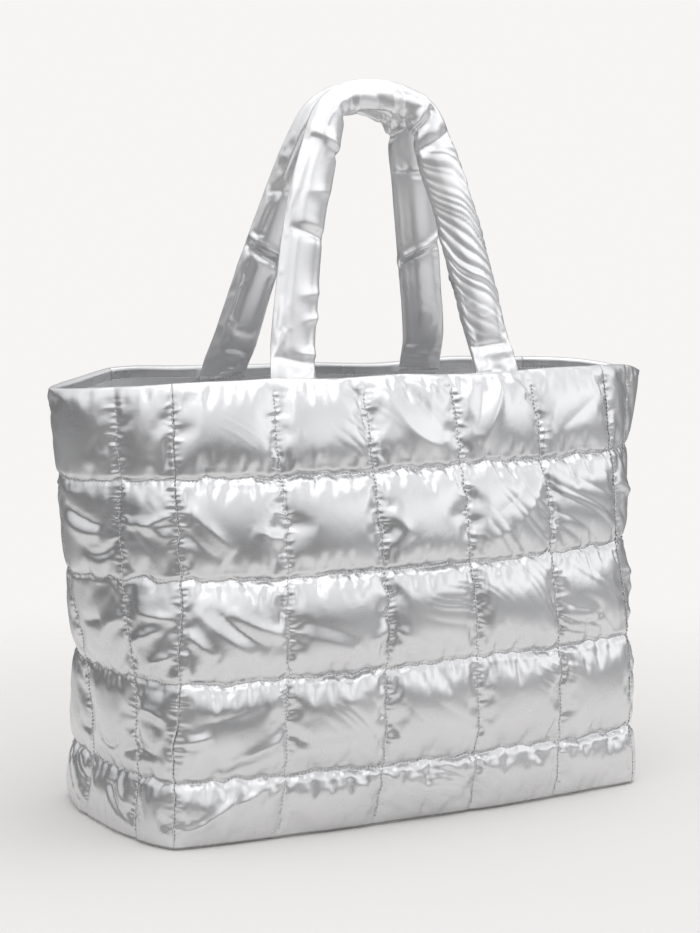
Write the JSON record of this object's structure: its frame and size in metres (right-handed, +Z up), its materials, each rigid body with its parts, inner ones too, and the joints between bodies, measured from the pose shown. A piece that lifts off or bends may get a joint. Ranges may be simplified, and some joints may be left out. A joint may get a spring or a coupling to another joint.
{
  "type": "puffer tote bag",
  "caption": "Open-topped quilted and padded tote bag with a box base, outward-folded gussets and two padded tube handles sewn inside the rim.",
  "frame": {"origin": "on the floor under the middle of the bag's box", "axes": "+Z up, +X along the bag's width to the right of the front, +Y from the front wall to the back wall"},
  "size_m": [0.5522, 0.2752, 0.6033],
  "materials": {
    "quilted_cloth": "glossy metallic coated nylon, puckered at its seams",
    "base_cloth": "glossy metallic coated nylon",
    "handle_cloth": "glossy metallic coated nylon, creased where the handles turn over",
    "tab_cloth": "glossy metallic coated nylon, stitched flat"
  },
  "bodies": {
    "root": {"front_panel": "quilted_cloth", "back_panel": "quilted_cloth", "left_gusset": "quilted_cloth", "right_gusset": "quilted_cloth", "base_panel": "base_cloth", "front_handle": "handle_cloth", "back_handle": "handle_cloth", "front_left_tab": "tab_cloth", "front_right_tab": "tab_cloth", "back_left_tab": "tab_cloth", "back_right_tab": "tab_cloth"}
  },
  "joints": []
}
